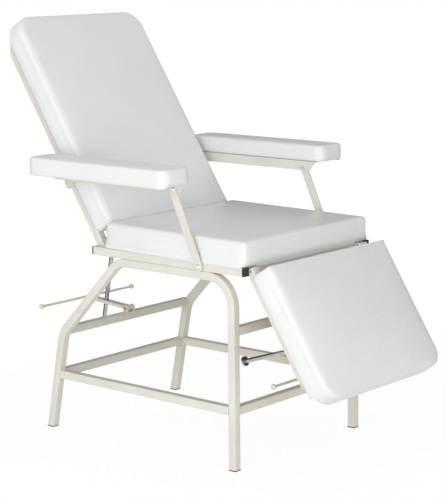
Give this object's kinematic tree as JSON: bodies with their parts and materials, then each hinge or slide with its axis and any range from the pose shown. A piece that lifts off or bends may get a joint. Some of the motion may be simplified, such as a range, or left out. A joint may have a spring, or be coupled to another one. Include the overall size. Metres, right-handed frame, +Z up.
{
  "type": "phlebotomy chair",
  "caption": "Phlebotomy chair on a bent square tube base, with a reclining backrest, armrests that stay level, a tilting footrest and lever locks on sliding rods.",
  "frame": {"origin": "on the floor, in the middle of the chair's plan", "axes": "+Z up; the chair faces -Y; +X is towards the sitter's left"},
  "size_m": [0.85, 1.2774, 1.2779],
  "materials": {
    "cream_paint": "satin",
    "white_vinyl": "satin",
    "plywood": "matte",
    "chrome": "polished",
    "zinc": "satin",
    "black_plastic": "matte"
  },
  "bodies": {
    "base": {"side_frame_right": "cream_paint", "side_frame_left": "cream_paint", "rear_upper_bar": "cream_paint", "rear_lower_bar": "cream_paint", "front_upper_bar": "cream_paint", "front_lower_bar": "cream_paint", "side_rail_right": "cream_paint", "side_rail_left": "cream_paint", "foot_caps": "black_plastic", "seat_rail_right": "cream_paint", "seat_rail_left": "cream_paint", "rail_end_caps": "black_plastic", "seat_front_tube": "cream_paint", "seat_rear_tube": "cream_paint", "foot_hinge_lugs": "cream_paint", "seat_board": "plywood", "seat_cushion": "white_vinyl", "seat_screws": "zinc", "strut_bolts": "zinc", "back_pivot_bolts": "zinc", "foot_pivot_bolts": "zinc", "back_lock_bracket": "cream_paint", "back_lock_pin": "zinc", "foot_lock_bracket": "cream_paint", "foot_lock_pin": "zinc"},
    "backrest": {"back_frame": "cream_paint", "back_cross_tube": "cream_paint", "back_rod_bracket": "cream_paint", "back_rod_pin": "zinc", "arm_lugs": "cream_paint", "arm_rear_bolts": "zinc", "back_board": "plywood", "back_cushion": "white_vinyl", "back_screws": "zinc"},
    "arm_right": {"arm_angle_right": "cream_paint", "arm_board_right": "plywood", "arm_pad_right": "white_vinyl", "arm_bolt_right": "zinc"},
    "arm_left": {"arm_angle_left": "cream_paint", "arm_board_left": "plywood", "arm_pad_left": "white_vinyl", "arm_bolt_left": "zinc"},
    "strut_right": {"strut_right": "cream_paint"},
    "strut_left": {"strut_left": "cream_paint"},
    "back_rod": {"back_rod": "chrome", "back_rod_stop": "chrome"},
    "back_lever": {"back_lever": "cream_paint", "back_handle": "cream_paint"},
    "footrest": {"foot_frame": "cream_paint", "foot_cross_tube": "cream_paint", "foot_rod_bracket": "cream_paint", "foot_rod_pin": "zinc", "foot_board": "plywood", "foot_cushion": "white_vinyl", "foot_screws": "zinc"},
    "foot_rod": {"foot_rod": "chrome", "foot_rod_stop": "chrome"},
    "foot_lever": {"foot_lever": "cream_paint", "foot_handle": "cream_paint"}
  },
  "joints": [
    {"name": "backrest_recline", "type": "hinge", "parent": "base", "child": "backrest", "pos_m": [0, 0.22612, 0.5855], "axis": [-1, 0, 0], "range_deg": [-3, 57]},
    {"name": "arm_right_level", "type": "hinge", "parent": "backrest", "child": "arm_right", "pos_m": [-0.3025, 0.32212, 0.8005], "axis": [-1, 0, 0], "range_deg": [-57, 3]},
    {"name": "arm_left_level", "type": "hinge", "parent": "backrest", "child": "arm_left", "pos_m": [0.3025, 0.32212, 0.8005], "axis": [-1, 0, 0], "range_deg": [-57, 3]},
    {"name": "strut_right_swing", "type": "hinge", "parent": "base", "child": "strut_right", "pos_m": [-0.307, -0.18738, 0.5855], "axis": [-1, 0, 0], "range_deg": [-3, 57]},
    {"name": "strut_left_swing", "type": "hinge", "parent": "base", "child": "strut_left", "pos_m": [0.307, -0.18738, 0.5855], "axis": [-1, 0, 0], "range_deg": [-3, 57]},
    {"name": "back_rod_swing", "type": "hinge", "parent": "backrest", "child": "back_rod", "pos_m": [0, 0.39496, 0.84549], "axis": [-1, 0, 0], "range_deg": [-33.69, 1.77]},
    {"name": "back_lever_release", "type": "hinge", "parent": "base", "child": "back_lever", "pos_m": [0, 0.38412, 0.341], "axis": [1, 0, 0], "range_deg": [0, 6]},
    {"name": "footrest_tilt", "type": "hinge", "parent": "base", "child": "footrest", "pos_m": [0, -0.34938, 0.5855], "axis": [-1, 0, 0], "range_deg": [-12, 57.5]},
    {"name": "foot_rod_swing", "type": "hinge", "parent": "footrest", "child": "foot_rod", "pos_m": [0, -0.48907, 0.36622], "axis": [-1, 0, 0], "range_deg": [-30.13, 6.29]},
    {"name": "foot_lever_release", "type": "hinge", "parent": "base", "child": "foot_lever", "pos_m": [0, -0.32338, 0.409], "axis": [-1, 0, 0], "range_deg": [0, 10]}
  ],
  "couplings": [
    {"joint": "arm_right_level", "follows": "backrest_recline", "ratio": -1},
    {"joint": "arm_left_level", "follows": "backrest_recline", "ratio": -1},
    {"joint": "strut_right_swing", "follows": "backrest_recline", "ratio": 1},
    {"joint": "strut_left_swing", "follows": "backrest_recline", "ratio": 1},
    {"joint": "back_rod_swing", "follows": "backrest_recline", "ratio": -0.591},
    {"joint": "foot_rod_swing", "follows": "footrest_tilt", "ratio": -0.524}
  ]
}
